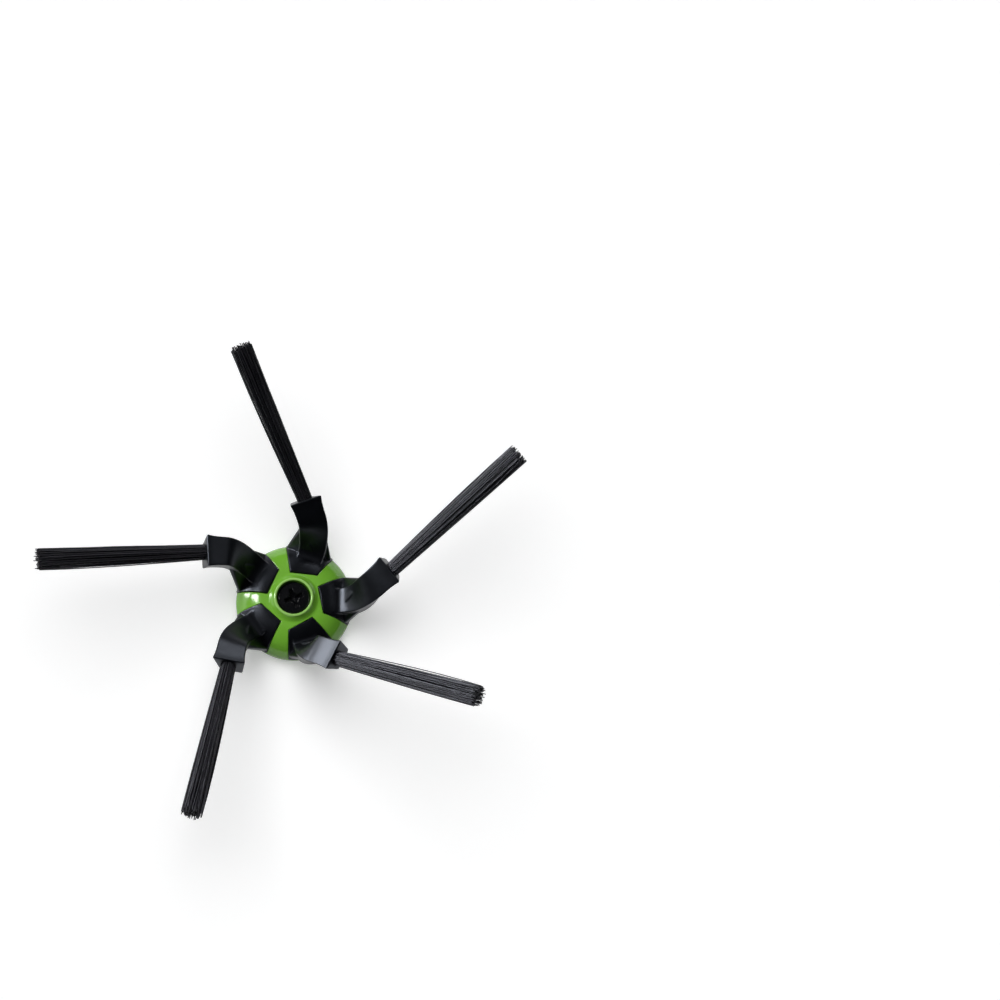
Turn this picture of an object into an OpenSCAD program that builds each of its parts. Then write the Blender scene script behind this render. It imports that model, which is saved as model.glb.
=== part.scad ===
// Side brush of a robot vacuum: a domed hub with a hex drive socket, five rubber
// arms that lean up and sweep round, and a bristle tuft in the end of each arm.
// The hub axis is Z. Zero is the end face of the drive boss, on which the brush
// rests with its dome up. Arm 1 leaves the hub along X, and the others follow
// anticlockwise.

/* [Hub shell] */
// Outer diameter of the hub at its rim
hub_d = 36; // [34:0.5:44]
// Width of the rim round the back plate
rim_w = 2; // [1.6:0.1:2.6]
// Height of the straight band at the rim
band_h = 2.2; // [1.8:0.1:2.8]
// Height from the back of the rim to the top of the screw well
hub_h = 10.4; // [9.8:0.1:12]
// Radius of the dome in section
dome_r = 10.5; // [9:0.1:13]
// Wall of the dome
shell_wall = 1.6; // [1.2:0.1:2]
// Height of the well collar above the dome
collar_h = 1.7; // [1.3:0.1:2.4]
// Width of the well collar at its top
lip_w = 1; // [0.8:0.1:1.6]
// How far the foot of the collar spreads past its lip
flare_w = 1.3; // [0.8:0.1:1.5]
// Diameter of the well for the screw's head
well_d = 10.8; // [10.4:0.1:11.4]
// Depth of the well
well_depth = 3.5; // [3:0.1:4]

/* [Drive boss] */
// Diameter of the boss
boss_d = 15; // [14:0.1:15.4]
// How far the boss stands out of the back of the rim
boss_proud = 1.8; // [1.2:0.1:2.4]
// Width of the hex socket across its flats
hex_af = 9.3; // [8:0.1:10]
// Depth of the hex socket
hex_depth = 5.5; // [4.8:0.1:5.8]
// Thickness of the web that holds the screw captive
web_t = 1.3; // [1:0.1:1.5]

/* [Back plate] */
// Thickness of the plate
plate_t = 1.8; // [1.4:0.1:2]
// How far the plate lies below the back of the rim
plate_inset = 0.5; // [0.3:0.1:0.8]
// Width of the raised collar round the boss
plate_collar_w = 2.3; // [1.8:0.1:2.8]
// How far that collar stands out of the plate
plate_collar_h = 1.1; // [0.6:0.1:1.5]
// Diameter of the two blind holes
key_hole_d = 3.6; // [3:0.1:4.2]
// Depth of the two blind holes
key_hole_depth = 1.2; // [0.8:0.1:1.3]
// Distance from their middles to the edge of the plate
key_hole_inset = 3.6; // [2.8:0.1:4]

/* [Screw] */
// Gap round the head in its well
head_gap = 0.6; // [0.4:0.05:0.9]
// How far the head lies below the top of the well
head_sink = 1.1; // [0.9:0.1:1.3]
// Diameter of the thread
thread_d = 4; // [3.6:0.1:4.4]
// Depth of the thread, down to the neck that the web holds
thread_h = 0.5; // [0.4:0.05:0.6]
// Gap round the thread in the hub
thread_gap = 0.4; // [0.3:0.05:0.5]
// How far the screw reaches into the hex socket
screw_reach = 2.8; // [1.5:0.1:3]
// Size of the cross recess from wing to wing
recess_span = 6.2; // [5:0.1:7]
// Width of each wing of the recess
recess_w = 1.3; // [1:0.1:1.6]
// Depth of the recess
recess_depth = 1.6; // [1.2:0.1:1.8]

/* [Arms] */
// Width of the arm where it leaves the hub
root_w = 8.3; // [7:0.1:9]
// Width of the arm at its narrowest
waist_w = 7.6; // [7:0.1:9]
// Width of the socket end
socket_w = 10.4; // [9:0.1:12]
// Thickness of the socket end
socket_t = 6; // [5.6:0.1:7]
// Length of the straight socket part
socket_l = 5.9; // [5:0.1:9]
// How far the arm dips at the rim below its root
dip_drop = 2.4; // [1.5:0.1:3]
// How far inside the rim the arm starts to bend
bend_inset = 2; // [1:0.1:3]
// Radius of that bend
bend_r = 13.5; // [11:0.1:17]
// Upward lean of the socket end in degrees
socket_pitch = 20; // [10:1:30]
// Height of the socket's mouth above the top of the hub
socket_rise = 8.2; // [7:0.1:12]
// How far the skirt stands proud of the dome
skirt_proud = 0.4; // [0.2:0.05:0.6]
// Width of each petal of the dome at the rim
petal_w = 7; // [6:0.1:10]

/* [Tufts] */
// Diameter of a tuft where it enters its arm
tuft_d = 4.7; // [4:0.1:5]
// Diameter of a tuft at its tip
tuft_tip_d = 7.2; // [5:0.1:9]
// Length of a tuft outside its arm
tuft_l = 54; // [40:0.5:62]
// Depth to which it is set in the arm
tuft_seat = 5; // [3:0.1:6]
// Thickness of one bundle of bristles
strand_d = 0.6; // [0.4:0.05:0.7]

/* [Hidden] */
$fn = 96;
arms = 5;
step_angle = 360 / arms;
hex_sides = 6;

// How the five soft arms and tufts lie at rest, in degrees: the way each arm
// points at its socket, then the plan angle and the lean of each tuft
bend_angles = [42, 41, 42, 47, 49];
tuft_yaw_angles = [43.5, 46, 46, 45.5, 53.5];
tuft_pitch_angles = [18, 26, 16, 17, 29];
// The radius of each bend, the length and lean of each socket, its extra rise
// and the length of each tuft, as shares of the common ones
bend_shares = [1.12, 1, 1.03, 1.03, 0.41];
socket_shares = [1.12, 1, 1.03, 1.03, 1.3];
pitch_shares = [1, 1, 1, 1, 1.5];
lift_shares = [0.05, -0.11, 0, -0.05, 0.33];
length_shares = [1, 0.985, 1, 1, 1];
// The way the arm points at its root, and the slant of the root's inner edge
root_angle = 3;
root_slant = 15;

fit_gap = 0.12;
seat_gap = 0.1;
run_gap = 0.08;
cut_over = 1;
edge_r = 0.4;
fine_n = 48;
rod_n = 24;

hub_r = hub_d / 2;
back_z = boss_proud;
band_z = back_z + band_h;
top_z = back_z + hub_h;
foot_z = top_z - collar_h;
well_r = well_d / 2;
lip_r = well_r + lip_w;
flare_r = lip_r + flare_w;
well_floor_z = top_z - well_depth;
boss_r = boss_d / 2;
plate_r = hub_r - rim_w;
neck_r = thread_d / 2 - thread_h;

// Centre of the dome's section, from its two ends and its radius
chord = [flare_r - hub_r, foot_z - band_z];
chord_l = norm(chord);
chord_n = [-chord[1], chord[0]] / chord_l;
sag_d = sqrt(pow(dome_r, 2) - pow(chord_l / 2, 2));
dome_c = [hub_r, band_z] + chord / 2 + sag_d * chord_n;
rim_a = atan2(band_z - dome_c[1], hub_r - dome_c[0]);
foot_a = atan2(foot_z - dome_c[1], flare_r - dome_c[0]);
dome_steps = 24;

// A point of the dome's section, or of one concentric with it
function dome_point(a, grow) = dome_c + (dome_r + grow) * [cos(a), sin(a)];

inner_rim_a = acos((plate_r - dome_c[0]) / (dome_r - shell_wall));
inner_boss_a = acos((boss_r - dome_c[0]) / (dome_r - shell_wall));

// Window for one arm, as the inner corners beside the root and the outer ones
// at the rim, where the petals sweep forward a little
window_x = flare_r + fit_gap + edge_r;
petal_a = petal_w / hub_r * 180 / PI;
window_half_a = (step_angle - petal_a) / 2;
window_turn = 5;
root_half = root_w / 2 + fit_gap;
window_out = hub_r + cut_over;

module window_shape(gap) {
    low_a = window_turn - window_half_a;
    high_a = window_turn + window_half_a;
    low_p = hub_r * [cos(low_a), sin(low_a)];
    high_p = hub_r * [cos(high_a), sin(high_a)];
    inner_low = [window_x, 0] + root_half * [sin(root_slant), -cos(root_slant)];
    inner_high = [window_x, 0] - root_half * [sin(root_slant), -cos(root_slant)];
    reach = window_out / hub_r;
    offset(delta = -gap)
        polygon([inner_low, low_p * reach, [window_out, low_p[1]], [window_out, high_p[1]],
                 high_p * reach, inner_high]);
}

module shell_profile() {
    polygon(concat(
        [[0, 0], [boss_r - edge_r, 0], [boss_r, edge_r]],
        [for (i = [0:dome_steps]) dome_point(inner_boss_a + (inner_rim_a - inner_boss_a) * i / dome_steps,
                                             -shell_wall)],
        [[plate_r, back_z], [hub_r - edge_r, back_z], [hub_r, back_z + edge_r]],
        [for (i = [0:dome_steps]) dome_point(rim_a + (foot_a - rim_a) * i / dome_steps, 0)],
        [for (i = [1:dome_steps / 2]) let (a = 90 * i / (dome_steps / 2))
            [lip_r + flare_w * (1 - sin(a)), foot_z + (collar_h - edge_r) * (1 - cos(a))]],
        [for (i = [1:dome_steps / 4]) let (a = 90 * i / (dome_steps / 4))
            [lip_r - edge_r + edge_r * cos(a), top_z - edge_r + edge_r * sin(a)]],
        [[well_r + edge_r / 2, top_z], [well_r, top_z - edge_r / 2], [well_r, well_floor_z], [0, well_floor_z]]));
}

module hub_shell() {
    color("yellowgreen")
    difference() {
        rotate_extrude() shell_profile();
        translate([0, 0, -cut_over]) {
            cylinder(d = hex_af / cos(180 / hex_sides), h = hex_depth + cut_over, $fn = hex_sides);
            cylinder(r = neck_r + run_gap, h = top_z);
            cylinder(d = thread_d + 2 * thread_gap, h = cut_over + well_floor_z - web_t);
        }
        for (i = [0:arms - 1]) rotate(i * step_angle)
            translate([0, 0, band_z]) linear_extrude(height = hub_h) window_shape(0);
    }
}

plate_z = back_z + plate_inset;
key_hole_angles = [step_angle, step_angle + 180];

module back_plate() {
    inner_r = boss_r + fit_gap;
    collar_r = boss_r + plate_collar_w;
    collar_z = plate_z - plate_collar_h;
    color("#26272e")
    difference() {
        rotate_extrude() polygon([
            [inner_r, collar_z + edge_r], [inner_r + edge_r, collar_z], [collar_r - 2 * edge_r, collar_z],
            [collar_r - edge_r, collar_z + edge_r], [collar_r, plate_z], [plate_r - fit_gap, plate_z],
            [plate_r - fit_gap, plate_z + plate_t], [inner_r, plate_z + plate_t]]);
        for (a = key_hole_angles) rotate(a)
            translate([plate_r - key_hole_inset, 0, plate_z - cut_over])
                cylinder(d = key_hole_d, h = key_hole_depth + cut_over, $fn = fine_n);
    }
}

head_z = well_floor_z + seat_gap;
head_top_z = top_z - head_sink;
recess_turn = 24;

module screw() {
    head_r = well_r - head_gap;
    thread_r = thread_d / 2;
    tip_z = hex_depth - screw_reach;
    thread_top_z = well_floor_z - web_t - seat_gap;
    color("#15161a")
    difference() {
        rotate_extrude() polygon([
            [0, tip_z], [thread_r - edge_r, tip_z], [thread_r, tip_z + edge_r],
            [thread_r, thread_top_z - edge_r], [neck_r, thread_top_z], [neck_r, head_z],
            [head_r - edge_r / 2, head_z], [head_r, head_z + edge_r / 2], [head_r, head_top_z - edge_r],
            [head_r - edge_r, head_top_z], [0, head_top_z]]);
        translate([0, 0, head_top_z - recess_depth]) {
            for (a = [0, 90]) rotate(a + recess_turn) translate([-recess_span / 2, -recess_w / 2, 0])
                cube([recess_span, recess_w, recess_depth + cut_over]);
            cylinder(d = recess_span / 2, h = recess_depth + cut_over, $fn = fine_n);
        }
    }
}

// The arm's middle line: straight out, round the bend, then straight to the socket
arm_x = window_x + fit_gap;
straight_l = hub_r - bend_inset - arm_x;
function arm_bend_r(i) = bend_r * bend_shares[i];
function bend_l(i) = arm_bend_r(i) * (bend_angles[i] - root_angle) * PI / 180;
function bend_end(i) = straight_l + bend_l(i);
function arm_l(i) = bend_end(i) + socket_l * socket_shares[i];
function arm_turn(s, i) =
    root_angle + min(max((s - straight_l) / bend_l(i), 0), 1) * (bend_angles[i] - root_angle);
function arm_plan(s, i) =
    let (t = arm_turn(s, i), along = min(s, straight_l), past = max(s - bend_end(i), 0))
    [arm_x, 0] + along * [cos(root_angle), sin(root_angle)] + past * [cos(t), sin(t)]
    + arm_bend_r(i) * [sin(t) - sin(root_angle), cos(root_angle) - cos(t)];

// Heights of the arm's upper face: at the root, and in the dip behind the rim
root_top_z = foot_z + 2 * skirt_proud;
dip_z = root_top_z - dip_drop;
dip_share = 0.94;
root_bottom_z = band_z + seat_gap + skirt_proud;
dip_l = straight_l * dip_share;

function mix(a, b, t) = a + (b - a) * t;
function ease(t) = t * t * (3 - 2 * t);
function part_of(s, from, to) = min(max((s - from) / (to - from), 0), 1);

// Middle height, width, thickness, lean and slant of the arm at a distance along it
function mouth_z(i) = top_z + socket_rise * (1 + lift_shares[i]);
function arm_pitch(i) = socket_pitch * pitch_shares[i];
function bend_end_z(i) = mouth_z(i) - (arm_l(i) - bend_end(i)) * tan(arm_pitch(i));
root_mid_z = (root_top_z + root_bottom_z) / 2;
dip_mid_z = (dip_z + root_bottom_z) / 2;
function arm_z(s, i) =
    let (t = part_of(s, dip_l, bend_end(i)), end_slope = tan(arm_pitch(i)) * (bend_end(i) - dip_l))
    s < dip_l ? mix(root_mid_z, dip_mid_z, ease(s / dip_l)) :
    s < bend_end(i) ? mix(dip_mid_z, bend_end_z(i), ease(t)) + end_slope * (pow(t, 3) - pow(t, 2)) :
    bend_end_z(i) + (s - bend_end(i)) * tan(arm_pitch(i));
function arm_w(s, i) = s < straight_l ? mix(root_w, waist_w, ease(s / straight_l)) :
    mix(waist_w, socket_w, pow(part_of(s, straight_l, arm_l(i)), 2));
function arm_t(s, i) = s < dip_l ? mix(root_top_z, dip_z, ease(s / dip_l)) - root_bottom_z :
    mix(dip_z - root_bottom_z, socket_t, ease(part_of(s, dip_l, bend_end(i))));
climb_lean = 34;
function arm_lean(s, i) =
    let (middle = (straight_l + bend_end(i)) / 2)
    mix(climb_lean * ease(part_of(s, dip_l, middle)), arm_pitch(i), ease(part_of(s, middle, bend_end(i))));
function arm_slant(s) = (root_slant - root_angle) * (1 - ease(part_of(s, 0, dip_l)));

corner_steps = 3;
section_r = 0.9;
function section_ring(w, t) = [
    for (c = [0:3]) for (k = [0:corner_steps])
        let (a = 90 * (c + k / corner_steps),
             cx = (c == 0 || c == 3 ? 1 : -1) * (w / 2 - section_r),
             cy = (c < 2 ? 1 : -1) * (t / 2 - section_r))
        [cx + section_r * cos(a), cy + section_r * sin(a)]];
function arm_ring(s, i) =
    let (p = arm_plan(s, i), t = arm_turn(s, i), across = t + arm_slant(s), lean = arm_lean(s, i))
    [for (q = section_ring(arm_w(s, i), arm_t(s, i)))
        [p[0] - q[0] * sin(across) - q[1] * sin(lean) * cos(t),
         p[1] + q[0] * cos(across) - q[1] * sin(lean) * sin(t),
         arm_z(s, i) + q[1] * cos(lean)]];

module loft(rings) {
    n = len(rings[0]);
    m = len(rings);
    polyhedron(
        points = [for (r = rings) each r],
        faces = concat(
            [[for (k = [0:n - 1]) k]],
            [[for (k = [n - 1:-1:0]) (m - 1) * n + k]],
            [for (j = [0:m - 2]) for (k = [0:n - 1])
                [j * n + k, (j + 1) * n + k, (j + 1) * n + (k + 1) % n]],
            [for (j = [0:m - 2]) for (k = [0:n - 1])
                [j * n + k, (j + 1) * n + (k + 1) % n, j * n + (k + 1) % n]]),
        convexity = 6);
}

arm_stations = 24;

module arm_strap(i) {
    loft([for (j = [0:arm_stations]) arm_ring(arm_l(i) * j / arm_stations, i)]);
}

// The skirt fills the window flush with the dome and stands on the rim's band
skirt_z = band_z + seat_gap;
module skirt() {
    skirt_a = acos((window_x - dome_c[0]) / (dome_r + skirt_proud));
    skirt_rim_a = asin((skirt_z - dome_c[1]) / (dome_r + skirt_proud));
    intersection() {
        rotate_extrude() polygon(concat(
            [[window_x, skirt_z]],
            [for (i = [0:dome_steps]) dome_point(skirt_rim_a + (skirt_a - skirt_rim_a) * i / dome_steps,
                                                 skirt_proud)]));
        linear_extrude(height = top_z) window_shape(fit_gap);
    }
}

// The gusset carries the strap from the rim up to a share of its bend
gusset_shares = [0.8, 0.8, 0.8, 0.8, 0.35];
gusset_wall = 1.2;
module gusset(i) {
    s = straight_l + bend_l(i) * gusset_shares[i];
    p = arm_plan(s, i);
    low_a = window_turn - window_half_a;
    high_a = window_turn + window_half_a;
    out_r = hub_r + skirt_proud;
    hull() {
        for (a = [low_a + window_turn / 2, high_a - window_turn / 2])
            rotate(a) translate([out_r - gusset_wall, 0, skirt_z + fit_gap])
                cylinder(r = gusset_wall / 2, h = band_h, $fn = rod_n);
        translate([p[0], p[1], arm_z(s, i)]) rotate(arm_turn(s, i))
            cube([gusset_wall, arm_w(s, i) - 2 * section_r, gusset_wall], center = true);
        translate([arm_x + dip_l, 0, skirt_z + band_h])
            cube([gusset_wall, root_w - 2 * section_r, gusset_wall], center = true);
    }
}

// The foot spreads under the dome, where the back plate clamps it
foot_h = 0.8;
foot_a_half = window_half_a + window_turn;
module arm_foot() {
    low_z = plate_z + plate_t + seat_gap;
    inner_r = boss_r + 3 * fit_gap;
    outer_r = plate_r - foot_h;
    intersection() {
        translate([0, 0, low_z]) difference() {
            cylinder(r = outer_r, h = foot_h);
            translate([0, 0, -cut_over]) cylinder(r = inner_r, h = foot_h + 2 * cut_over);
        }
        linear_extrude(height = top_z) polygon([[0, 0], [hub_d * cos(foot_a_half), -hub_d * sin(foot_a_half)],
            [hub_d, 0], [hub_d * cos(foot_a_half), hub_d * sin(foot_a_half)]]);
    }
    intersection() {
        translate([0, 0, low_z]) cylinder(r = outer_r, h = skirt_z - low_z + foot_h);
        linear_extrude(height = top_z) window_shape(fit_gap);
    }
}

// Places the middle of a tuft's root on the socket's mouth, turned along the tuft
module at_tuft(i) {
    p = arm_plan(arm_l(i), i);
    translate([p[0], p[1], mouth_z(i)]) rotate([0, 0, tuft_yaw_angles[i]])
        rotate([0, 90 - tuft_pitch_angles[i], 0]) children();
}

module arm(i) {
    color("#2b2d35")
    rotate(i * step_angle) difference() {
        union() {
            arm_strap(i);
            skirt();
            gusset(i);
            arm_foot();
        }
        at_tuft(i) translate([0, 0, -tuft_seat - seat_gap])
            cylinder(d = tuft_d + 2 * seat_gap, h = tuft_seat + 3 * cut_over, $fn = fine_n);
    }
}

// Bristles stand in rings about the middle of the tuft and fan out to the tip
tuft_rings = 3;
strand_sides = 8;
tuft_spread = (tuft_d - strand_d) / 2 / tuft_rings;
tip_spread = (tuft_tip_d - strand_d) / 2 / tuft_rings;
ragged_share = 0.035;
bead_share = 0.7;
ring_turn = 15;
ragged_turns = [97, 61];

module strand(ring, k, l) {
    turn = 360 * k / (6 * max(ring, 1)) + ring_turn * ring;
    grow = ring * (tip_spread - tuft_spread);
    cut = ragged_share * tuft_l * (1 + sin([k, ring] * ragged_turns)) / 2;
    rotate(turn) translate([ring * tuft_spread, 0, 0]) rotate([0, atan2(grow, l), 0])
        cylinder(d = strand_d, h = l - cut, $fn = strand_sides);
}

module tuft(i) {
    bead_h = tuft_seat * bead_share;
    l = tuft_l * length_shares[i] + tuft_seat - bead_h / 2;
    color("#101116")
    rotate(i * step_angle) at_tuft(i) {
        translate([0, 0, -tuft_seat]) cylinder(d = tuft_d, h = bead_h, $fn = fine_n);
        translate([0, 0, -tuft_seat + bead_h / 2]) {
            strand(0, 0, l);
            for (ring = [1:tuft_rings]) for (k = [0:6 * ring - 1]) strand(ring, k, l);
        }
    }
}

hub_shell();
back_plate();
screw();
arm(0);  // arm_1
arm(1);  // arm_2
arm(2);  // arm_3
arm(3);  // arm_4
arm(4);  // arm_5
tuft(0);  // tuft_1
tuft(1);  // tuft_2
tuft(2);  // tuft_3
tuft(3);  // tuft_4
tuft(4);  // tuft_5
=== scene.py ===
"""Looks of the robot vacuum side brush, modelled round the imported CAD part. Metres, Z up."""

import math
import random

import bpy
from mathutils import Matrix, Vector


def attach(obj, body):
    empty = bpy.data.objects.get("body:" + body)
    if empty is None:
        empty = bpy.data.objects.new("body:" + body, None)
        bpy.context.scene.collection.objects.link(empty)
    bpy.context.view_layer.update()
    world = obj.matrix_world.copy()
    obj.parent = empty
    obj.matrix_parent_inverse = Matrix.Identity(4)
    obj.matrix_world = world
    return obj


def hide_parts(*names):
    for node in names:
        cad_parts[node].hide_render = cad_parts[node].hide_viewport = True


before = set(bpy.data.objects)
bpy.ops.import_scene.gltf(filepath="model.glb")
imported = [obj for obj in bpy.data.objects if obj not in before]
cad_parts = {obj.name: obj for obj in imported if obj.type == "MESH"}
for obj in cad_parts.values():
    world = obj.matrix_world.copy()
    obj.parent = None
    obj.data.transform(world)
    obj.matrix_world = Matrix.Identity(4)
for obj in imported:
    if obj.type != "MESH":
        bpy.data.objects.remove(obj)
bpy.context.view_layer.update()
dice = random.Random(5)
MM = 0.001

# Sizes of the brush in millimetres, as the CAD source has them
ARMS = 5
STEP = 360 / ARMS
HUB_R, RIM_W, BACK_Z, BAND_Z, TOP_Z = 18.0, 2.0, 1.8, 4.0, 12.2
DOME_R, WALL = 10.5, 1.6
FOOT_Z, LIP_R, FLARE_R, WELL_R, WELL_Z = 10.5, 6.2, 7.7, 5.3, 8.7
BOSS_R, HEX_AF, HEX_DEPTH, WEB_Z = 7.5, 9.3, 5.5, 7.4
NECK_R, THREAD_R, BORE_R = 1.5, 2.0, 2.4
HEAD_R, HEAD_Z, HEAD_TOP, TIP_Z = 5.1, 8.8, 11.2, 2.7
WINDOW_X, ROOT_HALF, ROOT_SLANT, WINDOW_TURN, WINDOW_HALF_A = 8.22, 4.27, 15, 5, 24.86
ROOT_TURN, BEND_START, BEND_R, SOCKET_L = 3, 7.66, 13.5, 5.9
ARM_X, DIP_S, SOCKET_PITCH, SOCKET_RISE = 8.34, 5.4, 20, 8.2
ROOT_MID_Z, DIP_MID_Z = 9.7, 8.7
BEND_TURNS = (42, 41, 42, 47, 49)
BENDS = (1.12, 1, 1.03, 1.03, 0.41)
SOCKETS = (1.12, 1, 1.03, 1.03, 1.3)
PITCHES = (1, 1, 1, 1, 1.5)
LIFTS = (0.05, -0.11, 0, -0.05, 0.33)
GUSSETS = (0.8, 0.8, 0.8, 0.8, 0.9)
TUFT_YAWS = (43.5, 46, 46, 45.5, 53.5)
TUFT_PITCHES = (18, 26, 16, 17, 29)
TUFT_LENGTHS = (54, 53.2, 54, 54, 54)
TUFT_R, TUFT_TIP_R = 2.35, 3.6


# ---------------------------------------------------------------- shop tools

def clear_bench():
    """Leave edit mode and put every piece down."""
    if bpy.context.object and bpy.context.object.mode != "OBJECT":
        bpy.ops.object.mode_set(mode="OBJECT")
    bpy.ops.object.select_all(action="DESELECT")


def take(*pieces):
    """Pick up these pieces, the last one active."""
    clear_bench()
    for piece in pieces:
        piece.select_set(True)
    bpy.context.view_layer.objects.active = pieces[-1]
    return pieces[-1]


def pick(kind, rule):
    """In edit mode, select the vertices, edges or faces of the active piece that a rule picks."""
    mesh = bpy.context.object.data
    bpy.ops.mesh.select_mode(type=kind)
    bpy.ops.mesh.select_all(action="DESELECT")
    bpy.ops.object.mode_set(mode="OBJECT")
    for part in {"VERT": mesh.vertices, "EDGE": mesh.edges, "FACE": mesh.polygons}[kind]:
        part.select = rule(part)
    bpy.ops.object.mode_set(mode="EDIT")


def finish_mesh(piece, kind, **settings):
    """Add a modifier to a piece and apply it."""
    take(piece)
    bpy.ops.object.modifier_add(type=kind)
    modifier = piece.modifiers[-1]
    for name, value in settings.items():
        setattr(modifier, name, value)
    bpy.ops.object.modifier_apply(modifier=modifier.name)
    return piece


def cut(piece, *cutters, how="DIFFERENCE"):
    """Cut a piece with others, which are used up."""
    for cutter in cutters:
        finish_mesh(piece, "BOOLEAN", object=cutter, operation=how, solver="EXACT")
        bpy.data.objects.remove(cutter)
    return piece


def settle(piece):
    """Move a piece's place into its mesh, so that its object sits at the origin."""
    take(piece)
    bpy.ops.object.transform_apply(location=True, rotation=True, scale=True)
    return piece


def copy_of(piece, name):
    """A copy of a piece with its own mesh."""
    twin = piece.copy()
    twin.data = piece.data.copy()
    twin.name = name
    bpy.context.scene.collection.objects.link(twin)
    return twin


def joined(name, *pieces):
    """Several pieces as one."""
    whole = take(*pieces)
    if len(pieces) > 1:
        bpy.ops.object.join()
    whole.name = name
    return whole


def soften(piece, width, segments=2, over=35):
    """Round a piece's sharp edges and shade it smooth between them."""
    finish_mesh(piece, "BEVEL", width=width * MM, segments=segments, limit_method="ANGLE",
                angle_limit=math.radians(over), use_clamp_overlap=False, miter_outer="MITER_ARC")
    take(piece)
    bpy.ops.object.shade_smooth_by_angle(angle=math.radians(over))
    return piece


def melt(piece, grain, passes):
    """Melt a piece's overlapping parts into one skin and soften it."""
    finish_mesh(piece, "REMESH", mode="VOXEL", voxel_size=grain * MM, adaptivity=0)
    return finish_mesh(piece, "SMOOTH", factor=0.5, iterations=passes)


def tidy_edges(piece, reach=0.05):
    """Merge the crumbs that cutting leaves along edges."""
    take(piece)
    bpy.ops.object.mode_set(mode="EDIT")
    bpy.ops.mesh.select_all(action="SELECT")
    bpy.ops.mesh.remove_doubles(threshold=reach * MM)
    bpy.ops.mesh.dissolve_degenerate(threshold=reach * MM / 5)
    bpy.ops.mesh.normals_make_consistent(inside=False)
    bpy.ops.object.mode_set(mode="OBJECT")
    return piece


def drawn_line(name, points, close):
    """A line drawn from corner to corner, in millimetres, by extruding a point."""
    clear_bench()
    bpy.ops.mesh.primitive_plane_add(size=MM, location=Vector(points[0]) * MM)
    line = bpy.context.object
    line.name = name
    bpy.ops.object.transform_apply(location=True)
    bpy.ops.object.mode_set(mode="EDIT")
    bpy.ops.mesh.select_all(action="SELECT")
    bpy.ops.mesh.merge(type="CENTER")
    for here, there in zip(points, points[1:]):
        bpy.ops.mesh.extrude_region_move(TRANSFORM_OT_translate={"value": (Vector(there) - Vector(here)) * MM})
    if close:
        ends = (0, len(points) - 1)
        pick("VERT", lambda v: v.index in ends)
        bpy.ops.mesh.edge_face_add()
    return line


def turned(name, profile, steps=144, angle=360, start=0):
    """A piece turned about the hub's axis from a closed profile of radii and heights."""
    turn = Matrix.Rotation(math.radians(start), 3, "Z")
    piece = drawn_line(name, [turn @ Vector((r, 0, z)) for r, z in profile], close=True)
    bpy.ops.mesh.select_all(action="SELECT")
    bpy.ops.mesh.spin(steps=steps, angle=math.radians(angle), center=(0, 0, 0), axis=(0, 0, 1))
    bpy.ops.mesh.select_all(action="SELECT")
    bpy.ops.mesh.remove_doubles(threshold=1e-6)
    bpy.ops.mesh.normals_make_consistent(inside=False)
    bpy.ops.object.mode_set(mode="OBJECT")
    return piece


def prism(name, corners, low, high):
    """A straight prism on corners in plan, between two heights."""
    piece = drawn_line(name, [(x, y, low) for x, y in corners], close=True)
    bpy.ops.mesh.select_all(action="SELECT")
    bpy.ops.mesh.edge_face_add()
    bpy.ops.mesh.extrude_region_move(TRANSFORM_OT_translate={"value": (0, 0, (high - low) * MM)})
    bpy.ops.mesh.select_all(action="SELECT")
    bpy.ops.mesh.normals_make_consistent(inside=False)
    bpy.ops.object.mode_set(mode="OBJECT")
    return piece


def rod(name, r, low, high, place=(0, 0), sides=48):
    """A round rod along Z."""
    clear_bench()
    bpy.ops.mesh.primitive_cylinder_add(radius=r * MM, depth=(high - low) * MM, vertices=sides,
                                        location=(place[0] * MM, place[1] * MM, (low + high) / 2 * MM))
    bpy.context.object.name = name
    return settle(bpy.context.object)


def block(name, size, centre, turn=0):
    """A block in millimetres, turned about Z."""
    clear_bench()
    bpy.ops.mesh.primitive_cube_add(size=MM, location=Vector(centre) * MM, rotation=(0, 0, math.radians(turn)))
    bpy.context.object.scale = size
    bpy.context.object.name = name
    return settle(bpy.context.object)


def turn_piece(piece, angle):
    """Turn a piece about the hub's axis."""
    take(piece)
    bpy.ops.object.mode_set(mode="EDIT")
    bpy.ops.mesh.select_all(action="SELECT")
    bpy.ops.object.mode_set(mode="OBJECT")
    piece.rotation_euler = (0, 0, math.radians(angle))
    return settle(piece)


def arc(cx, cz, r, start, end, steps):
    """Points on an arc in a profile."""
    return [(cx + r * math.cos(math.radians(start + (end - start) * i / steps)),
             cz + r * math.sin(math.radians(start + (end - start) * i / steps))) for i in range(steps + 1)]


def ease(t):
    t = min(max(t, 0), 1)
    return t * t * (3 - 2 * t)


# ---------------------------------------------------------------- finishes

class Level:
    """A number that varies over a surface. Sums on it add Math nodes."""

    def __init__(self, paint, socket):
        self.paint, self.socket = paint, socket

    def _sum(self, operation, a, b):
        made = self.paint.node("ShaderNodeMath", {"operation": operation}, {0: a, 1: b})
        return Level(self.paint, made.outputs[0])

    def __add__(self, other):
        return self._sum("ADD", self, other)

    def __radd__(self, other):
        return self._sum("ADD", other, self)

    def __sub__(self, other):
        return self._sum("SUBTRACT", self, other)

    def __rsub__(self, other):
        return self._sum("SUBTRACT", other, self)

    def __mul__(self, other):
        return self._sum("MULTIPLY", self, other)

    def __rmul__(self, other):
        return self._sum("MULTIPLY", other, self)

    def __truediv__(self, other):
        return self._sum("DIVIDE", self, other)

    def __rtruediv__(self, other):
        return self._sum("DIVIDE", other, self)

    def __pow__(self, other):
        return self._sum("POWER", self, other)


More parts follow.
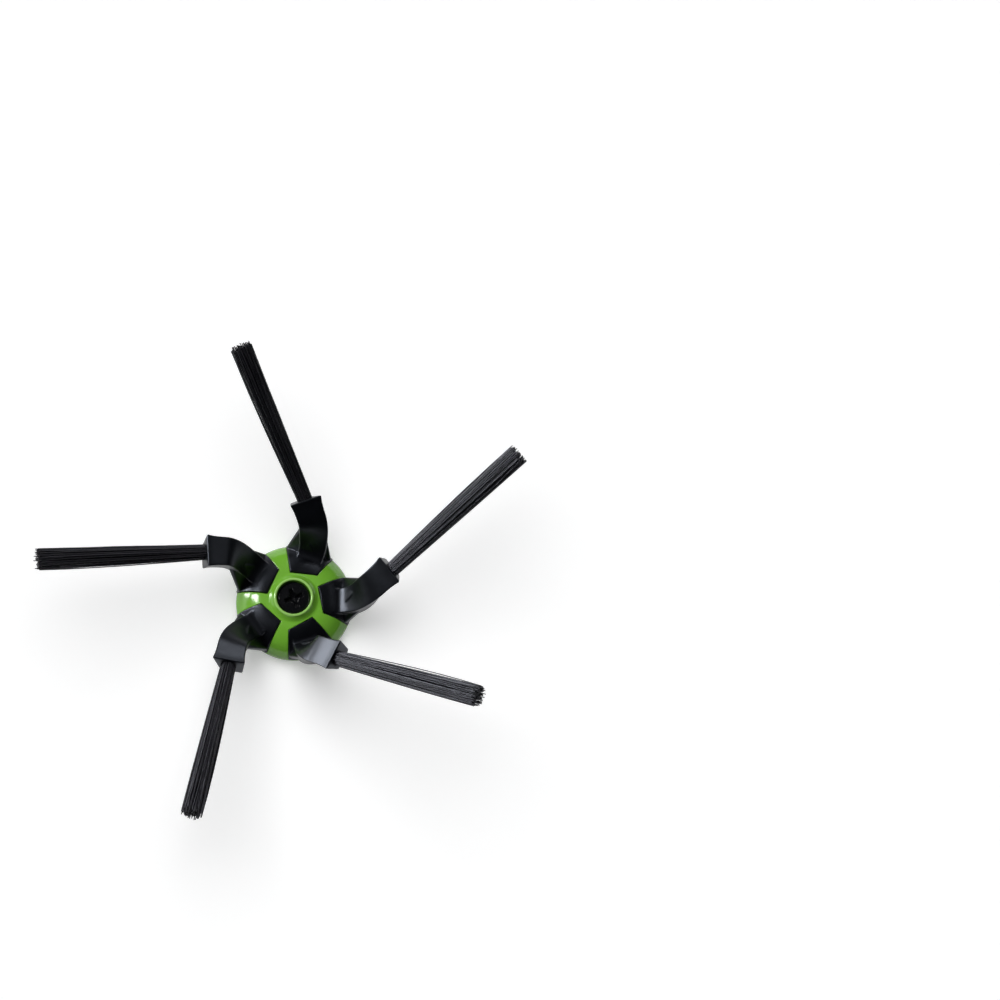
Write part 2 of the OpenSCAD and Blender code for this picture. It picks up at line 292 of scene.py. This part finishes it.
class Finish:
    """One procedural finish."""

    def __init__(self, name, **fixed):
        self.material = bpy.data.materials.new(name)
        self.material.use_nodes = True
        self.tree = self.material.node_tree
        self.shader = self.tree.nodes["Principled BSDF"]
        self.place = self.node("ShaderNodeTexCoord").outputs["Object"]
        for socket, value in fixed.items():
            self.shader.inputs[socket.replace("_", " ")].default_value = value

    def node(self, kind, settings=None, values=None):
        made = self.tree.nodes.new(kind)
        for name, value in (settings or {}).items():
            if name == "stops":
                ramp = made.color_ramp
                for i, (at, colour) in enumerate(value):
                    stop = ramp.elements[i] if i < 2 else ramp.elements.new(at)
                    stop.position, stop.color = at, (*colour, 1)
            else:
                setattr(made, name, value)
        for key, value in (values or {}).items():
            self.feed(made.inputs[key], value)
        return made

    def feed(self, socket, value):
        if isinstance(value, Level):
            value = value.socket
        if isinstance(value, bpy.types.NodeSocket):
            self.tree.links.new(value, socket)
        elif socket.type == "RGBA":
            socket.default_value = (*value[:3], 1)
        else:
            socket.default_value = value

    def grain(self, scale, detail=3.0, rough=0.55, along=None):
        """Noise of so many spots a metre, from 0 to 1; along stretches it."""
        place = self.place
        if along:
            place = self.node("ShaderNodeMapping", {}, {"Vector": place, "Scale": along}).outputs[0]
        made = self.node("ShaderNodeTexNoise", {}, {"Vector": place, "Scale": scale, "Detail": detail,
                                                    "Roughness": rough})
        return Level(self, made.outputs["Fac"])

    def blend(self, share, a, b):
        """A colour between two colours."""
        made = self.node("ShaderNodeMix", {"data_type": "RGBA"}, {0: share, 6: a, 7: b})
        return made.outputs[2]

    def paint(self, colour=None, roughness=None, height=None, depth=0.0):
        if colour is not None:
            self.feed(self.shader.inputs["Base Color"], colour)
        if roughness is not None:
            self.feed(self.shader.inputs["Roughness"], roughness)
        if height is not None:
            bump = self.node("ShaderNodeBump", {}, {"Height": height, "Strength": 1.0, "Distance": depth})
            self.feed(self.shader.inputs["Normal"], bump.outputs[0])
        return self.material


def lime_plastic():
    finish = Finish("lime_gloss_plastic", Coat_Weight=0.0, IOR=1.5)
    cloud = finish.grain(160, 2)
    peel = finish.grain(1400, 2)
    height = finish.node("ShaderNodeSeparateXYZ", {}, {"Vector": finish.place}).outputs[2]
    # Painted highlight: the crest of the hub's lip, from 11.7 to 12.1 mm up, is painted a paler lime in the blend
    # below. It stands in for the bright ring of light on the lip.
    painted_lip_highlight = finish.node("ShaderNodeMapRange", {"interpolation_type": "SMOOTHSTEP"},
                      {"Value": height, "From Min": 0.0117, "From Max": 0.0121}).outputs[0]
    colour = finish.blend(cloud, (0.150, 0.400, 0.030), (0.180, 0.455, 0.040))
    colour = finish.blend(painted_lip_highlight, colour, (0.30, 0.58, 0.13))
    return finish.paint(colour, 0.13 + cloud * 0.05, peel, 0.000006)


def black_plastic():
    finish = Finish("black_satin_plastic", IOR=1.5)
    cloud = finish.grain(220, 2)
    spark = finish.grain(5200, 2)
    colour = finish.blend(cloud, (0.011, 0.011, 0.014), (0.017, 0.017, 0.021))
    return finish.paint(colour, 0.36 + spark * 0.16, spark, 0.00002)


def charcoal_rubber():
    finish = Finish("charcoal_rubber", IOR=1.5, Specular_Tint=(0.78, 0.85, 1, 1))
    cloud = finish.grain(260, 3)
    skin = finish.grain(3600, 3)
    colour = finish.blend(cloud, (0.0008, 0.0009, 0.0015), (0.0018, 0.0019, 0.0029))
    return finish.paint(colour, 0.27 + cloud * 0.07 + skin * 0.06, skin, 0.000018)


def black_steel():
    finish = Finish("black_oxide_steel", IOR=1.5)
    cloud = finish.grain(400, 3)
    fine = finish.grain(4000, 2)
    colour = finish.blend(cloud, (0.0024, 0.0026, 0.0034), (0.0050, 0.0053, 0.0065))
    return finish.paint(colour, 0.15 + cloud * 0.08, fine, 0.000006)


def bristle_nylon():
    finish = Finish("bristle_nylon", IOR=1.5, Specular_Tint=(0.85, 0.87, 1, 1))
    shade = Level(finish, finish.node("ShaderNodeAttribute", {"attribute_name": "strand"}).outputs["Fac"]) ** 2.5
    mottle = finish.grain(900, 2)
    colour = finish.blend(shade * 0.8 + mottle * 0.2, (0.0020, 0.0020, 0.0030), (0.030, 0.029, 0.034))
    return finish.paint(colour, 0.26 + shade * 0.16, finish.grain(6000, 2), 0.000008)


LIME, BLACK, RUBBER = lime_plastic(), black_plastic(), charcoal_rubber()
STEEL, NYLON = black_steel(), bristle_nylon()


def hand_over(piece, material, body, slot, *nodes):
    """Give a finished piece its finish and its body, and hide the CAD nodes it stands for. The slot argument is not
    used.
    """
    piece.data.materials.clear()
    piece.data.materials.append(material)
    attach(piece, body)
    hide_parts(*nodes)


# ---------------------------------------------------------------- hub shell

chord = Vector((FLARE_R - HUB_R, FOOT_Z - BAND_Z))
chord_side = Vector((-chord.y, chord.x)).normalized()
dome_c = Vector((HUB_R, BAND_Z)) + chord / 2 + chord_side * math.sqrt(DOME_R ** 2 - (chord.length / 2) ** 2)
rim_a = math.degrees(math.atan2(BAND_Z - dome_c.y, HUB_R - dome_c.x))
foot_a = math.degrees(math.atan2(FOOT_Z - dome_c.y, FLARE_R - dome_c.x))
inner_rim_a = math.degrees(math.acos((HUB_R - RIM_W - dome_c.x) / (DOME_R - WALL)))
inner_boss_a = math.degrees(math.acos((BOSS_R - dome_c.x) / (DOME_R - WALL)))


def window_corners(gap):
    """Corners of one arm's window in plan, drawn in by a gap."""
    low, high = (math.radians(WINDOW_TURN + side * WINDOW_HALF_A) for side in (-1, 1))
    slant = math.radians(ROOT_SLANT)
    lean = Vector((math.sin(slant), -math.cos(slant)))
    out = HUB_R + 1
    inner_low = Vector((WINDOW_X + gap, 0)) + lean * (ROOT_HALF - gap)
    inner_high = Vector((WINDOW_X + gap, 0)) - lean * (ROOT_HALF - gap)
    low_p = Vector((math.cos(low), math.sin(low))) * out + Vector((0, gap))
    high_p = Vector((math.cos(high), math.sin(high))) * out - Vector((0, gap))
    return [inner_low, low_p, Vector((out + 1, low_p.y)), Vector((out + 1, high_p.y)), high_p, inner_high]


def make_hub():
    edge = 0.4
    flare = [(FLARE_R + (LIP_R - FLARE_R) * t / 9, FOOT_Z + (TOP_Z - edge - FOOT_Z) * (t / 9) ** 1.4) for t in range(1, 10)]
    profile = ([(BORE_R, 0), (BOSS_R - edge, 0)] + arc(BOSS_R - edge, edge, edge, -60, 0, 4)
               + arc(*dome_c, DOME_R - WALL, inner_boss_a, inner_rim_a, 12)
               + [(HUB_R - RIM_W, BACK_Z), (HUB_R - edge, BACK_Z)] + arc(HUB_R - edge, BACK_Z + edge, edge, -60, 0, 4)
               + arc(*dome_c, DOME_R, rim_a, foot_a, 16) + flare
               + arc(LIP_R - 0.45, TOP_Z - 0.45, 0.45, 15, 90, 7)
               + arc(WELL_R + 0.35, TOP_Z - 0.35, 0.35, 90, 180, 7)
               + [(WELL_R, WELL_Z), (NECK_R + 0.08, WELL_Z), (NECK_R + 0.08, WEB_Z), (BORE_R, WEB_Z)])
    hub = turned("hub_moulding", profile, steps=120)
    socket = rod("hex_cutter", HEX_AF / 2 / math.cos(math.radians(30)), -1, HEX_DEPTH, sides=6)
    turn_piece(socket, 30 if abs(max(v.co.x for v in socket.data.vertices)) < HEX_AF / 2 * 1.05 * MM else 0)
    windows = []
    for k in range(ARMS):
        window = prism("window_cutter", window_corners(0), BAND_Z, TOP_Z + 1)
        windows.append(turn_piece(window, k * STEP))
    cut(hub, socket, *windows)
    tidy_edges(hub, 0.06)
    soften(hub, 0.11)
    hand_over(hub, LIME, "hub", "green_plastic", "hub_shell")


# ---------------------------------------------------------------- back plate

def make_plate():
    low, high, fit, edge = 2.3, 4.1, 0.12, 0.4
    inner, outer, collar, collar_z = BOSS_R + fit, HUB_R - RIM_W - fit, BOSS_R + 2.3, low - 1.1
    profile = [(inner, collar_z + edge), (inner + edge, collar_z), (collar - 2 * edge, collar_z),
               (collar - edge, collar_z + edge), (collar, low), (outer, low), (outer, high), (inner, high)]
    plate = turned("back_plate_moulding", profile, steps=144)
    for a in (STEP, STEP + 180):
        place = Vector((math.cos(math.radians(a)), math.sin(math.radians(a)))) * (HUB_R - RIM_W - 3.6)
        cut(plate, rod("hole_cutter", 1.8, low - 1, low + 1.2, place))
    soften(plate, 0.12)
    hand_over(plate, BLACK, "hub", "black_plastic", "back_plate")


# ---------------------------------------------------------------- screw

def make_screw():
    core, edge = THREAD_R - 0.42, 0.35
    head = ([(0.02, WELL_Z + 0.1), (HEAD_R - 0.2, HEAD_Z)] + arc(HEAD_R - 0.2, HEAD_Z + 0.2, 0.2, -60, 0, 3)
            + arc(HEAD_R - 0.8, HEAD_TOP - 0.95, 0.8, 0, 70, 8) + [(2.2, HEAD_TOP - 0.02), (0.02, HEAD_TOP)])
    top = turned("screw_head", head, steps=96)
    wings = []
    for turn in (24, 114):
        wing = block("recess_cutter", (7.2, 1.7, 2.6), (0, 0, HEAD_TOP - 0.4))
        take(wing)
        bpy.ops.object.mode_set(mode="EDIT")
        pick("FACE", lambda f: f.normal.z < -0.9)
        bpy.ops.transform.resize(value=(0.6, 0.35, 1), center_override=(0, 0, (HEAD_TOP - 1.7) * MM))
        bpy.ops.object.mode_set(mode="OBJECT")
        wings.append(turn_piece(wing, turn))
    clear_bench()
    bpy.ops.mesh.primitive_cone_add(radius1=0.3 * MM, radius2=1.9 * MM, depth=2.1 * MM, vertices=48,
                                    location=(0, 0, (HEAD_TOP - 0.75) * MM))
    cone = settle(bpy.context.object)
    cut(top, *wings, cone)
    melt(top, 0.085, 3)
    shank = turned("screw_shank", [(0.05, TIP_Z), (core - edge, TIP_Z), (core, TIP_Z + edge), (core, WEB_Z - 0.1),
                                   (NECK_R, WEB_Z - 0.1), (NECK_R, HEAD_Z + 0.2), (0.05, HEAD_Z + 0.2)], steps=64)
    pitch, crest, root = 0.7, THREAD_R, core - 0.05
    ridge = drawn_line("thread", [(root, 0, 0), (crest, 0, 0.22), (crest, 0, 0.36), (root, 0, 0.58)], close=True)
    bpy.ops.object.mode_set(mode="OBJECT")
    ridge.location.z = (TIP_Z + 0.1) * MM
    settle(ridge)
    turns = int((WEB_Z - 0.1 - TIP_Z - 0.7) / pitch)
    finish_mesh(ridge, "SCREW", angle=math.radians(360 * turns), screw_offset=pitch * turns * MM,
                steps=48 * turns, render_steps=48 * turns, use_merge_vertices=False)
    screw = joined("clamp_screw", ridge, shank, top)
    take(screw)
    bpy.ops.object.shade_smooth_by_angle(angle=math.radians(35))
    hand_over(screw, STEEL, "screw", "black_steel", "screw")


# ---------------------------------------------------------------- arms

class ArmLine:
    """The middle line of one arm, which the soft arm is flexed along."""

    def __init__(self, k):
        self.k = k
        self.r = BEND_R * BENDS[k]
        self.turn = BEND_TURNS[k]
        self.bend_l = self.r * math.radians(self.turn - ROOT_TURN)
        self.bend_end = BEND_START + self.bend_l
        self.length = self.bend_end + SOCKET_L * SOCKETS[k]
        self.slope = math.tan(math.radians(SOCKET_PITCH * PITCHES[k]))
        self.mouth_z = TOP_Z + SOCKET_RISE * (1 + LIFTS[k])
        self.bend_z = self.mouth_z - (self.length - self.bend_end) * self.slope

    def heading(self, s):
        return ROOT_TURN + min(max((s - BEND_START) / self.bend_l, 0), 1) * (self.turn - ROOT_TURN)

    def height(self, s):
        climb = self.bend_end - DIP_S
        if s < DIP_S:
            return ROOT_MID_Z + (DIP_MID_Z - ROOT_MID_Z) * ease(s / DIP_S)
        if s < self.bend_end:
            t = (s - DIP_S) / climb
            return DIP_MID_Z + (self.bend_z - DIP_MID_Z) * ease(t) + self.slope * climb * (t ** 3 - t ** 2)
        return self.bend_z + (s - self.bend_end) * self.slope

    def point(self, s):
        a, root = math.radians(self.heading(s)), math.radians(ROOT_TURN)
        along, past = min(s, BEND_START), max(s - self.bend_end, 0)
        flat = (Vector((ARM_X, 0)) + Vector((math.cos(root), math.sin(root))) * along
                + Vector((math.cos(a), math.sin(a))) * past
                + Vector((math.sin(a) - math.sin(root), math.cos(root) - math.cos(a))) * self.r)
        return Vector((flat.x, flat.y, self.height(s)))

    def points(self, steps=48):
        return [self.point(self.length * i / steps) for i in range(steps + 1)]

    def real_length(self):
        line = self.points()
        return sum((b - a).length for a, b in zip(line, line[1:]))


# The flat arm before it is flexed: share of its length, width, top and bottom of its section
FLAT_ARM = ((0.0, 7.9, 1.0, -5.3), (0.015, 7.9, 1.0, -5.3), (0.09, 7.9, 1.0, -5.1), (0.18, 7.9, 1.0, -4.4),
            (0.25, 8.0, 1.0, -3.8), (0.31, 8.1, 1.0, -3.4), (0.42, 8.5, 1.2, -3.2), (0.55, 8.9, 1.8, -3.0),
            (0.67, 9.15, 2.45, -2.8), (0.76, 9.2, 2.85, -2.9), (0.84, 9.3, 2.95, -2.95), (0.90, 9.5, 2.95, -3.0),
            (0.95, 9.9, 3.05, -3.0), (0.985, 10.3, 3.2, -3.0), (1.0, 10.45, 3.25, -3.0))


def make_flat_arm(length=27):
    """The strap and its socket as moulded, straight along X from the root to the mouth."""
    clear_bench()
    share, width, top, bottom = FLAT_ARM[0]
    bpy.ops.mesh.primitive_plane_add(size=MM, location=(0, 0, (top + bottom) / 2 * MM),
                                     rotation=(0, math.radians(-90), 0))
    arm = bpy.context.object
    arm.name = "flat_arm"
    arm.scale = (top - bottom, width, 1)
    settle(arm)
    bpy.ops.object.mode_set(mode="EDIT")
    bpy.ops.mesh.select_all(action="SELECT")
    before = FLAT_ARM[0]
    for station in FLAT_ARM[1:]:
        step = (station[0] - before[0]) * length
        rise = (station[2] + station[3] - before[2] - before[3]) / 2
        bpy.ops.mesh.extrude_region_move(TRANSFORM_OT_translate={"value": (step * MM, 0, rise * MM)})
        bpy.ops.transform.resize(
            value=(1, station[1] / before[1], (station[2] - station[3]) / (before[2] - before[3])),
            center_override=(station[0] * length * MM, 0, (station[2] + station[3]) / 2 * MM))
        before = station
    bpy.ops.mesh.select_all(action="SELECT")
    bpy.ops.mesh.normals_make_consistent(inside=False)
    # The underside of the socket is drawn in on its clockwise side, like a flange
    for share, inset in ((0.55, 0.5), (0.67, 1.4), (0.76, 2.2), (0.84, 2.7), (0.90, 2.7), (0.95, 2.7),
                         (0.985, 2.7), (1.0, 2.7)):
        x = share * length * MM
        pick("VERT", lambda v: abs(v.co.x - x) < 1e-5 and v.co.z < 0 and v.co.y < 0)
        bpy.ops.transform.translate(value=(0, inset * MM, 0))
        pick("VERT", lambda v: abs(v.co.x - x) < 1e-5 and v.co.z < 0 and v.co.y > 0)
        bpy.ops.transform.translate(value=(0, -inset * 0.2 * MM, 0))
    # The root's inner edge is slanted
    for share, slant in ((0.0, 0.88), (0.015, 0.88), (0.09, 0.66), (0.18, 0.2)):
        x = share * length * MM
        for side in (-1, 1):
            pick("VERT", lambda v: abs(v.co.x - x) < 1e-5 and v.co.y * side > 0)
            bpy.ops.transform.translate(value=(-side * slant * MM, 0, 0))
    pick("EDGE", lambda e: abs(arm.data.vertices[e.vertices[0]].co.x - arm.data.vertices[e.vertices[1]].co.x) > 1e-5
         and arm.data.vertices[e.vertices[0]].co.y * arm.data.vertices[e.vertices[1]].co.y > 0)
    bpy.ops.mesh.bevel(offset=0.42 * MM, segments=3, profile=0.6, affect="EDGES")
    bpy.ops.object.mode_set(mode="OBJECT")
    return finish_mesh(arm, "SUBSURF", levels=2, render_levels=2)


def flex(arm, line):
    """Stretch a flat arm to its line's length and bend it along the line."""
    flat_length = max(v.co.x for v in arm.data.vertices)
    arm.scale.x = line.real_length() * MM / flat_length
    settle(arm)
    path = bpy.data.curves.new("arm_path", "CURVE")
    path.dimensions = "3D"
    path.twist_mode = "Z_UP"
    spline = path.splines.new("POLY")
    points = line.points()
    spline.points.add(len(points) - 1)
    for knot, place in zip(spline.points, points):
        knot.co = (*(place * MM), 1)
    guide = bpy.data.objects.new("arm_path", path)
    bpy.context.scene.collection.objects.link(guide)
    finish_mesh(arm, "CURVE", object=guide, deform_axis="POS_X")
    bpy.data.objects.remove(guide)
    bpy.data.curves.remove(path)
    return arm


def make_skirt(line):
    """The part of the arm that fills its window and carries the strap up from the rim."""
    proud, low_z, wall = 0.35, BAND_Z + 0.1, 1.2
    skirt_a = math.degrees(math.acos((WINDOW_X - dome_c.x) / (DOME_R + proud)))
    skirt_rim_a = math.degrees(math.asin((low_z - dome_c.y) / (DOME_R + proud)))
    profile = [(WINDOW_X, low_z)] + arc(*dome_c, DOME_R + proud, skirt_rim_a, skirt_a, 20)
    skirt = turned("skirt", profile, steps=120)
    cut(skirt, prism("window", window_corners(0.12), BAND_Z - 1, TOP_Z + 1), how="INTERSECT")
    s = BEND_START + line.bend_l * GUSSETS[line.k]
    place = line.point(s)
    out_r = HUB_R + 0.4 - wall
    ends = []
    for a in (WINDOW_TURN - WINDOW_HALF_A + WINDOW_TURN / 2, WINDOW_TURN, WINDOW_TURN + WINDOW_HALF_A - WINDOW_TURN / 2):
        corner = Vector((math.cos(math.radians(a)), math.sin(math.radians(a)))) * out_r
        ends.append(rod("gusset_end", wall / 2, low_z + 0.12, low_z + 2.3, corner, sides=20))
    ends.append(block("gusset_top", (wall, 6.8, wall), place, line.heading(s)))
    ends.append(block("gusset_root", (wall, 6.4, wall), (ARM_X + DIP_S, 0, low_z + 2.2)))
    gusset = joined("gusset", *ends)
    bpy.ops.object.mode_set(mode="EDIT")
    bpy.ops.mesh.select_all(action="SELECT")
    bpy.ops.mesh.convex_hull()
    bpy.ops.object.mode_set(mode="OBJECT")
    return skirt, gusset


def make_foot():
    """The part of the arm under the dome, which the back plate clamps."""
    low, high, half = 4.2, 5.0, WINDOW_HALF_A + WINDOW_TURN
    corners = [(0, 0)] + [(36 * math.cos(math.radians(a)), 36 * math.sin(math.radians(a))) for a in (-half, 0, half)]
    foot = turned("foot", [(7.9, low), (15.2, low), (15.2, high), (7.9, high)], steps=72)
    cut(foot, prism("wedge", corners, low - 1, high + 1), how="INTERSECT")
    inner = prism("foot_core", window_corners(0.12), low, BAND_Z + 1)
    cut(inner, rod("foot_round", 15.2, low - 1, BAND_Z + 2, sides=72), how="INTERSECT")
    return foot, inner


def mouth_turn(k):
    """How a tuft stands at the mouth of its arm."""
    return (Matrix.Rotation(math.radians(TUFT_YAWS[k]), 4, "Z")
            @ Matrix.Rotation(math.radians(90 - TUFT_PITCHES[k]), 4, "Y"))


def make_arm(k, flat_arm, foot):
    line = ArmLine(k)
    strap = flex(copy_of(flat_arm, "strap"), line)
    parts = [strap, *make_skirt(line), *(copy_of(part, part.name) for part in foot)]
    arm = melt(joined(f"rubber_arm_{k + 1}", *parts), 0.17, 3)
    clear_bench()
    bore = rod("bore", TUFT_R + 0.07, -5.05, 4)
    bore.matrix_world = Matrix.Translation(line.point(line.length) * MM) @ mouth_turn(k)
    cut(arm, settle(bore))
    turn_piece(arm, k * STEP)
    take(arm)
    bpy.ops.object.shade_smooth_by_angle(angle=math.radians(40))
    hand_over(arm, RUBBER, "hub", "rubber", f"arm_{k + 1}")


# ---------------------------------------------------------------- tufts

STRAND_R = 0.165


def make_strand(length, bow):
    """One bristle along Z, a little bowed to one side."""
    clear_bench()
    bpy.ops.mesh.primitive_cylinder_add(radius=STRAND_R * MM, depth=length * MM, vertices=5,
                                        location=(0, 0, length / 2 * MM))
    strand = settle(bpy.context.object)
    bpy.ops.object.mode_set(mode="EDIT")
    pick("EDGE", lambda e: abs(strand.data.vertices[e.vertices[0]].co.z
                               - strand.data.vertices[e.vertices[1]].co.z) > MM)
    bpy.ops.mesh.subdivide(number_cuts=6)
    for i in range(8):
        z = length * i / 7 * MM
        pick("VERT", lambda v: abs(v.co.z - z) < 0.1 * MM)
        share = i / 7
        bpy.ops.transform.translate(value=(bow * MM * 4 * share * (1 - share) * (0.6 + share), 0, 0))
    bpy.ops.object.mode_set(mode="OBJECT")
    bpy.ops.object.shade_smooth_by_angle(angle=math.radians(80))
    strand.data.attributes.new("strand", "FLOAT", "POINT")
    return strand


def bristle_places():
    """Where the bristles stand in a tuft, as shares of its radius, in rings with some play."""
    places = [(0.0, 0.0)]
    rings = 6
    for ring in range(1, rings + 1):
        for j in range(ring * 6):
            a = 2 * math.pi * (j + 0.37 * ring) / (ring * 6) + dice.uniform(-0.25, 0.25) / ring
            r = ring / rings + dice.uniform(-0.04, 0.0)
            places.append((r * math.cos(a), r * math.sin(a)))
    return places


def make_tuft(k, strands):
    line = ArmLine(k)
    bundle = []
    span = TUFT_R - STRAND_R
    tip_span = TUFT_TIP_R - 0.1 - STRAND_R
    for x, y in bristle_places():
        strand = copy_of(dice.choice(strands), "bristle")
        length = TUFT_LENGTHS[k] + 4
        foot = Vector((x, y, 0)) * span
        tip = Vector((x, y, 0)) * tip_span + Vector((dice.uniform(-0.25, 0.25), dice.uniform(-0.25, 0.25), 0))
        if tip.length > tip_span:
            tip *= tip_span / tip.length
        tip.z = length
        lean = (tip - foot).to_track_quat("Z", "Y").to_matrix().to_4x4()
        roll = Matrix.Rotation(dice.uniform(0, 2 * math.pi), 4, "Z")
        stretch = Matrix.Diagonal((1, 1, (length - dice.uniform(0.3, 1.7)) / 58, 1))
        strand.data.transform(Matrix.Translation((foot + Vector((0, 0, -4))) * MM) @ lean @ roll @ stretch)
        shade = dice.random()
        strand.data.attributes["strand"].data.foreach_set("value", [shade] * len(strand.data.vertices))
        bundle.append(strand)
    plug = rod("fused_root", TUFT_R, -5, -1.5)
    plug.data.attributes.new("strand", "FLOAT", "POINT")
    tuft = joined(f"bristle_tuft_{k + 1}", *bundle, plug)
    tuft.matrix_world = (Matrix.Rotation(math.radians(k * STEP), 4, "Z")
                         @ Matrix.Translation(line.point(line.length) * MM) @ mouth_turn(k))
    settle(tuft)
    hand_over(tuft, NYLON, "hub", "bristle", f"tuft_{k + 1}")


# ---------------------------------------------------------------- studio

def toward(azimuth, elevation):
    """Direction to a viewer or lamp: azimuth 0 stands in front, on the -Y side, and 90 on the right."""
    a, e = math.radians(azimuth), math.radians(elevation)
    return Vector((math.sin(a) * math.cos(e), -math.cos(a) * math.cos(e), math.sin(e)))


def softbox(name, azimuth, elevation, distance, width, height, level, colour=(1, 1, 1)):
    """A rectangular lamp facing the brush; level is how bright its face is, where white is 1."""
    way = toward(azimuth, elevation)
    clear_bench()
    bpy.ops.object.light_add(type="AREA", location=way * distance, rotation=way.to_track_quat("Z", "Y").to_euler())
    lamp = bpy.context.object
    lamp.name = name
    lamp.data.shape = "RECTANGLE"
    lamp.data.size, lamp.data.size_y = width, height
    lamp.data.energy = level * math.pi * width * height
    lamp.data.color = colour
    return lamp


def sun(name, azimuth, elevation, strength, spread):
    way = toward(azimuth, elevation)
    clear_bench()
    bpy.ops.object.light_add(type="SUN", location=way, rotation=way.to_track_quat("Z", "Y").to_euler())
    lamp = bpy.context.object
    lamp.name = name
    lamp.data.energy = strength
    lamp.data.angle = math.radians(spread)
    return lamp


def reserve(lamp, piece, how):
    """Hold a lamp's light off one piece, or keep it for that piece, as flags beside the lamp do."""
    flag = bpy.data.collections.new(lamp.name + "_flag")
    flag.objects.link(piece)
    flag.collection_objects[0].light_linking.link_state = how
    lamp.light_linking.receiver_collection = flag


def make_studio():
    look = toward(3.5, 76.5)
    right = Vector((math.cos(math.radians(3.5)), math.sin(math.radians(3.5)), 0))
    up = look.cross(right)
    aim = Vector((0, 0, 0.003)) + right * 0.0638 + up * 0.0321
    distance = 3.4
    camera_data = bpy.data.cameras.new("camera")
    camera = bpy.data.objects.new("camera", camera_data)
    bpy.context.scene.collection.objects.link(camera)
    camera.matrix_world = Matrix.Translation(aim + look * distance) @ Matrix((right, up, look)).transposed().to_4x4()
    camera_data.sensor_width = 36
    camera_data.lens = 36 * distance / 0.310
    camera_data.clip_start, camera_data.clip_end = 0.1, 100
    bpy.context.scene.camera = camera

    key = sun("key", -104, 45, 1.85, 40)
    ceiling = sun("ceiling", -152, 62, 1.2, 50)
    wash = sun("floor_wash", -165, 70, 1.08, 64)
    under = sun("under_fill", -60, -55, 0.9, 90)
    for lamp in (key, ceiling, wash, under):
        lamp.visible_glossy = False
    strip = softbox("left_strip", -108, 29, 1.2, 0.16, 1.2, 31)
    wall = softbox("left_wall", -102, 6, 1.6, 1.4, 0.45, 1.6)
    window = softbox("left_window", -126, 23, 1.3, 0.34, 0.42, 17)
    back = softbox("back_window", 174, 36, 1.4, 0.5, 0.25, 7)
    side = softbox("right_window", 116, 46, 1.4, 0.4, 0.3, 1.2)
    for lamp in (strip, wall, window, back, side):
        lamp.visible_diffuse = False

    clear_bench()
    bpy.ops.mesh.primitive_plane_add(size=60)
    floor = bpy.context.object
    floor.name = "floor"
    paper = Finish("white_paper", Roughness=0.9, IOR=1.2)
    rays = paper.node("ShaderNodeLightPath")
    seen = Level(paper, rays.outputs["Is Camera Ray"]) + Level(paper, rays.outputs["Is Glossy Ray"]) \
        + Level(paper, rays.outputs["Is Transmission Ray"])
    fibres = paper.grain(40, 3)
    paper.paint(paper.blend(fibres, (0.87, 0.87, 0.87), (0.89, 0.89, 0.89)))
    glow = paper.node("ShaderNodeEmission", {}, {"Color": (1, 1, 1), "Strength": seen * 0.36})
    both = paper.node("ShaderNodeAddShader", {}, {0: paper.shader.outputs[0], 1: glow.outputs[0]})
    gone = paper.node("ShaderNodeBsdfTransparent")
    behind = paper.node("ShaderNodeNewGeometry").outputs["Backfacing"]
    shown = paper.node("ShaderNodeMixShader", {}, {0: behind, 1: both.outputs[0], 2: gone.outputs[0]})
    paper.feed(paper.tree.nodes["Material Output"].inputs["Surface"], shown.outputs[0])
    floor.data.materials.append(paper.material)
    for lamp in (key, under, strip, wall, window, back, side):
        reserve(lamp, floor, "EXCLUDE")
    reserve(wash, floor, "INCLUDE")

    world = bpy.data.worlds.new("studio")
    bpy.context.scene.world = world
    world.use_nodes = True
    sky = world.node_tree.nodes["Background"]
    sky.inputs["Color"].default_value = (0.97, 0.98, 1, 1)
    tree = world.node_tree
    rays = tree.nodes.new("ShaderNodeLightPath")
    total = sky.inputs["Strength"]
    for ray, rise in (("Is Camera Ray", 0.90), ("Is Glossy Ray", -0.09)):
        share = tree.nodes.new("ShaderNodeMath")
        share.operation = "MULTIPLY_ADD"
        share.inputs[1].default_value, share.inputs[2].default_value = rise, 0.10
        tree.links.new(rays.outputs[ray], share.inputs[0])
        tree.links.new(share.outputs[0], total)
        total = share.inputs[2]
    bpy.context.scene.view_settings.view_transform = "Standard"


# ---------------------------------------------------------------- assembly

make_hub()
make_plate()
make_screw()
flat = make_flat_arm()
foot_parts = make_foot()
for n in range(ARMS):
    make_arm(n, flat, foot_parts)
for part in (flat, *foot_parts):
    bpy.data.objects.remove(part)
kinds = [make_strand(58, bow) for bow in (0.15, 0.35, 0.6, 0.1)]
for n in range(ARMS):
    make_tuft(n, kinds)
for part in kinds:
    bpy.data.objects.remove(part)
make_studio()
